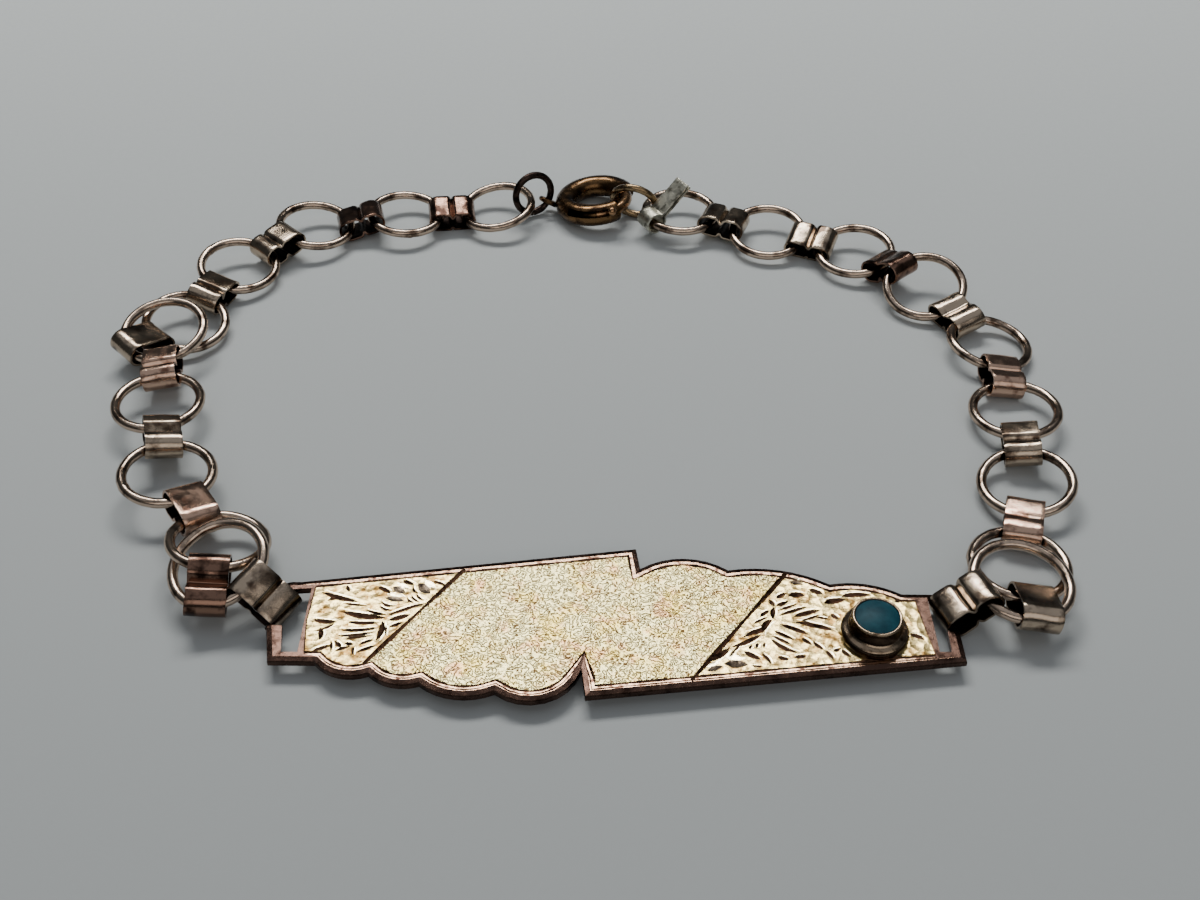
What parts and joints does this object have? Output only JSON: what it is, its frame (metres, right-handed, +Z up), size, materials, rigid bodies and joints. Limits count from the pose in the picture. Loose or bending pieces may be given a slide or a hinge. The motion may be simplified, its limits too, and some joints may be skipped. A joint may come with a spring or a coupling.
{
  "type": "nameplate bracelet",
  "caption": "Slim bracelet for a wrist: an engraved gold plate with a turquoise cabochon, joined by soldered wire rings and folded straps to a spring-ring clasp.",
  "frame": {"origin": "centre of the bracelet's box on the surface that it lies on", "axes": "+X along the nameplate towards its stone, +Y from the nameplate across the loop to the clasp, +Z up from the surface"},
  "size_m": [0.063, 0.0518, 0.004],
  "materials": {
    "plate_gold": "pale gold, polished border, stippled centre and bright-cut side panels, worn",
    "stone": "teal turquoise, waxed, slightly uneven",
    "ring_gold": "rose gold wire, polished and tarnished",
    "strap_gold": "rose gold sheet, polished outside, dark in the folds",
    "clasp_gold": "old brownish gold, worn smooth",
    "bolt_gold": "old gold, polished by use",
    "eye_metal": "dark tarnished gold",
    "end_metal": "old gold wire"
  },
  "bodies": {
    "bracelet": {"nameplate": "plate_gold", "turquoise": "stone", "ring_1": "ring_gold", "ring_2": "ring_gold", "ring_3": "ring_gold", "ring_4": "ring_gold", "ring_5": "ring_gold", "ring_6": "ring_gold", "ring_7": "ring_gold", "ring_8": "ring_gold", "ring_9": "ring_gold", "ring_10": "ring_gold", "ring_11": "ring_gold", "ring_12": "ring_gold", "ring_13": "ring_gold", "ring_14": "ring_gold", "ring_15": "ring_gold", "ring_16": "ring_gold", "ring_17": "ring_gold", "ring_18": "ring_gold", "ring_19": "ring_gold", "strap_1": "strap_gold", "strap_2": "strap_gold", "strap_3": "strap_gold", "strap_4": "strap_gold", "strap_5": "strap_gold", "strap_6": "strap_gold", "strap_7": "strap_gold", "strap_8": "strap_gold", "strap_9": "strap_gold", "strap_10": "strap_gold", "strap_11": "strap_gold", "strap_12": "strap_gold", "strap_13": "strap_gold", "strap_14": "strap_gold", "strap_15": "strap_gold", "strap_16": "strap_gold", "strap_17": "strap_gold", "strap_18": "strap_gold", "strap_19": "strap_gold", "strap_20": "strap_gold", "clasp_tube": "clasp_gold", "clasp_eye": "eye_metal", "end_ring": "end_metal"},
    "bolt": {"clasp_bolt": "bolt_gold"}
  },
  "joints": [
    {"name": "clasp_slide", "type": "hinge", "parent": "bracelet", "child": "bolt", "pos_m": [0.00135, 0.02268, 0.00124], "axis": [-0.1055, 0.0609, 0.9925], "range_deg": [-60, 0], "stiffness_Nm_per_rad": 0.002}
  ]
}
